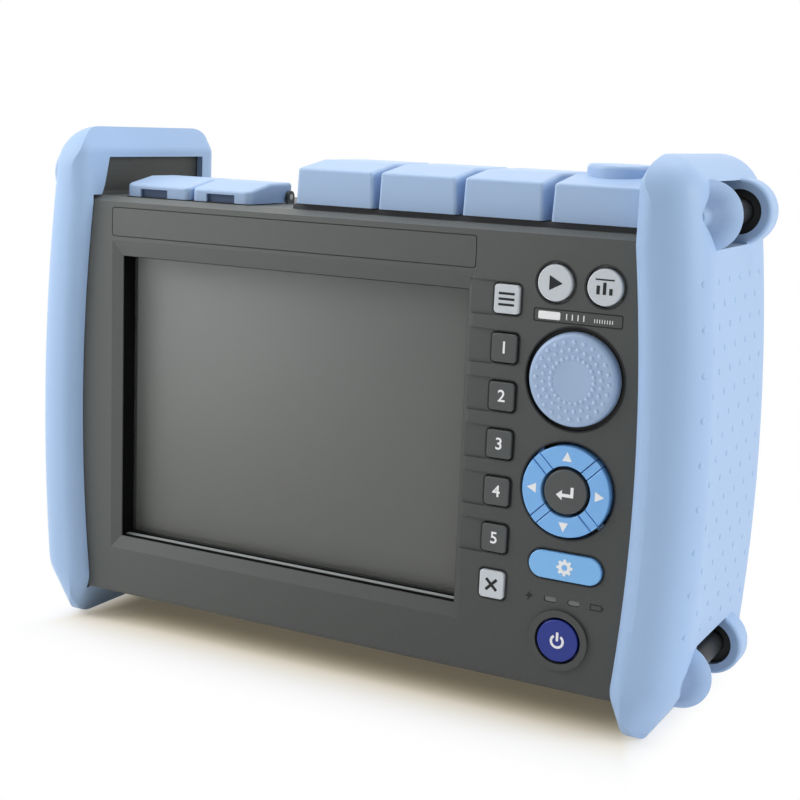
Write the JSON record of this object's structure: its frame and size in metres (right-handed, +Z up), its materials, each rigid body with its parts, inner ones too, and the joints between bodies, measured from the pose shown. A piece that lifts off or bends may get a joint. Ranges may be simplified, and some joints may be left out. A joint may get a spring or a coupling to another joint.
{
  "type": "optical time domain reflectometer",
  "caption": "Hand-held fibre-line tester: dark case with a wide screen, key panel with push knob and arrow ring, rubber end bumpers with strap bars, hinged port covers.",
  "frame": {"origin": "under the middle of the tester, on the surface that it stands on", "axes": "+X to the right of somebody facing the panel, +Y from the panel to the rear, +Z up"},
  "size_m": [0.2254, 0.0716, 0.1562],
  "materials": {
    "case": "fine-grained moulded",
    "deck": "moulded",
    "bumper": "smooth elastomer",
    "strap_bar": "moulded",
    "cover": "satin moulded",
    "dark_key": "satin",
    "light_key": "satin",
    "arrow_key": "satin",
    "setup_key": "satin",
    "power_key": "satin",
    "knob": "satin",
    "window": "anti-glare",
    "display": "dark display",
    "lens": "frosted light pipe",
    "sheet": "mill",
    "steel": "bright",
    "board": "solder mask",
    "mat": "silicone",
    "ferrule": "nickel-plated",
    "socket": "bright",
    "battery": "shrink-wrapped"
  },
  "bodies": {
    "case": {"front_case": "case", "rear_case": "case", "name_plate": "case", "bumper_carrier_right": "case", "bumper_carrier_left": "case", "connector_deck": "deck", "left_bumper": "bumper", "right_bumper": "bumper", "display_window": "window", "display_panel": "display", "display_frame": "sheet", "arrow_spacer": "arrow_key", "indicator_lenses": "lens", "encoder_body": "deck", "keypad_mat": "mat", "key_board": "board", "main_board": "board", "optical_module": "sheet", "optical_adapter_1": "ferrule", "optical_adapter_2": "ferrule", "optical_adapter_3": "ferrule", "meter_adapter": "ferrule", "cover_hinge_rod": "steel", "low_cover_hinge_rod": "steel", "usb_port": "socket", "dc_jack": "deck", "battery_pack": "battery", "stand_pin": "steel", "case_screws": "steel", "strap_bar_upper_left": "strap_bar", "strap_bar_upper_right": "strap_bar", "strap_bar_lower_left": "strap_bar", "strap_bar_lower_right": "strap_bar"},
    "menu_key": {"menu_key": "light_key"},
    "escape_key": {"escape_key": "light_key"},
    "live_key": {"live_key": "light_key"},
    "average_key": {"average_key": "light_key"},
    "power_key": {"power_key": "power_key"},
    "right_key": {"right_key": "arrow_key"},
    "up_key": {"up_key": "arrow_key"},
    "left_key": {"left_key": "arrow_key"},
    "down_key": {"down_key": "arrow_key"},
    "enter_key": {"enter_key": "dark_key"},
    "setup_key": {"setup_key": "setup_key"},
    "function_key_1": {"function_key_1": "dark_key"},
    "function_key_2": {"function_key_2": "dark_key"},
    "function_key_3": {"function_key_3": "dark_key"},
    "function_key_4": {"function_key_4": "dark_key"},
    "function_key_5": {"function_key_5": "dark_key"},
    "encoder_plunger": {"encoder_plunger": "steel"},
    "knob": {"knob": "knob", "encoder_shaft": "steel"},
    "port_cover_1": {"port_cover_1": "cover"},
    "port_cover_2": {"port_cover_2": "cover"},
    "port_cover_3": {"port_cover_3": "cover"},
    "meter_cover": {"meter_cover": "cover"},
    "usb_cover": {"usb_cover": "cover"},
    "power_cover": {"power_cover": "cover"},
    "stand": {"folding_stand": "case"},
    "battery_door": {"battery_door": "case"}
  },
  "joints": [
    {"name": "menu_key_press", "type": "slide", "parent": "case", "child": "menu_key", "axis": [0, 1, 0], "range_m": [0, 0.0006], "stiffness_N_per_m": 400},
    {"name": "escape_key_press", "type": "slide", "parent": "case", "child": "escape_key", "axis": [0, 1, 0], "range_m": [0, 0.0006], "stiffness_N_per_m": 400},
    {"name": "live_key_press", "type": "slide", "parent": "case", "child": "live_key", "axis": [0, 1, 0], "range_m": [0, 0.0006], "stiffness_N_per_m": 400},
    {"name": "average_key_press", "type": "slide", "parent": "case", "child": "average_key", "axis": [0, 1, 0], "range_m": [0, 0.0006], "stiffness_N_per_m": 400},
    {"name": "power_key_press", "type": "slide", "parent": "case", "child": "power_key", "axis": [0, 1, 0], "range_m": [0, 0.0006], "stiffness_N_per_m": 400},
    {"name": "right_key_press", "type": "slide", "parent": "case", "child": "right_key", "axis": [0, 1, 0], "range_m": [0, 0.0006], "stiffness_N_per_m": 400},
    {"name": "up_key_press", "type": "slide", "parent": "case", "child": "up_key", "axis": [0, 1, 0], "range_m": [0, 0.0006], "stiffness_N_per_m": 400},
    {"name": "left_key_press", "type": "slide", "parent": "case", "child": "left_key", "axis": [0, 1, 0], "range_m": [0, 0.0006], "stiffness_N_per_m": 400},
    {"name": "down_key_press", "type": "slide", "parent": "case", "child": "down_key", "axis": [0, 1, 0], "range_m": [0, 0.0006], "stiffness_N_per_m": 400},
    {"name": "enter_key_press", "type": "slide", "parent": "case", "child": "enter_key", "axis": [0, 1, 0], "range_m": [0, 0.0006], "stiffness_N_per_m": 400},
    {"name": "setup_key_press", "type": "slide", "parent": "case", "child": "setup_key", "axis": [0, 1, 0], "range_m": [0, 0.0006], "stiffness_N_per_m": 400},
    {"name": "function_key_1_press", "type": "slide", "parent": "case", "child": "function_key_1", "axis": [0, 1, 0], "range_m": [0, 0.0006], "stiffness_N_per_m": 400},
    {"name": "function_key_2_press", "type": "slide", "parent": "case", "child": "function_key_2", "axis": [0, 1, 0], "range_m": [0, 0.0006], "stiffness_N_per_m": 400},
    {"name": "function_key_3_press", "type": "slide", "parent": "case", "child": "function_key_3", "axis": [0, 1, 0], "range_m": [0, 0.0006], "stiffness_N_per_m": 400},
    {"name": "function_key_4_press", "type": "slide", "parent": "case", "child": "function_key_4", "axis": [0, 1, 0], "range_m": [0, 0.0006], "stiffness_N_per_m": 400},
    {"name": "function_key_5_press", "type": "slide", "parent": "case", "child": "function_key_5", "axis": [0, 1, 0], "range_m": [0, 0.0006], "stiffness_N_per_m": 400},
    {"name": "knob_push", "type": "slide", "parent": "case", "child": "encoder_plunger", "axis": [0, 1, 0], "range_m": [0, 0.0005], "stiffness_N_per_m": 800},
    {"name": "knob_turn", "type": "hinge", "parent": "encoder_plunger", "child": "knob", "pos_m": [0.0725, -0.03075, 0.0965], "axis": [0, 1, 0], "continuous": true},
    {"name": "port_cover_1_hinge", "type": "hinge", "parent": "case", "child": "port_cover_1", "pos_m": [0, 0.00945, 0.1388], "axis": [-1, 0, 0], "range_deg": [0, 95]},
    {"name": "port_cover_2_hinge", "type": "hinge", "parent": "case", "child": "port_cover_2", "pos_m": [0, 0.00945, 0.1388], "axis": [-1, 0, 0], "range_deg": [0, 95]},
    {"name": "port_cover_3_hinge", "type": "hinge", "parent": "case", "child": "port_cover_3", "pos_m": [0, 0.00945, 0.1388], "axis": [-1, 0, 0], "range_deg": [0, 95]},
    {"name": "meter_cover_hinge", "type": "hinge", "parent": "case", "child": "meter_cover", "pos_m": [0, 0.00945, 0.1388], "axis": [-1, 0, 0], "range_deg": [0, 95]},
    {"name": "usb_cover_hinge", "type": "hinge", "parent": "case", "child": "usb_cover", "pos_m": [-0.055, -0.00355, 0.1374], "axis": [-1, 0, 0], "range_deg": [0, 90]},
    {"name": "power_cover_hinge", "type": "hinge", "parent": "case", "child": "power_cover", "pos_m": [-0.055, -0.00355, 0.1374], "axis": [-1, 0, 0], "range_deg": [0, 90]},
    {"name": "stand_fold", "type": "hinge", "parent": "case", "child": "stand", "pos_m": [0, 0.03355, 0.0863], "axis": [1, 0, 0], "range_deg": [0, 40]},
    {"name": "battery_door_release", "type": "slide", "parent": "case", "child": "battery_door", "axis": [0, 1, 0], "range_m": [0, 0.03]}
  ]
}
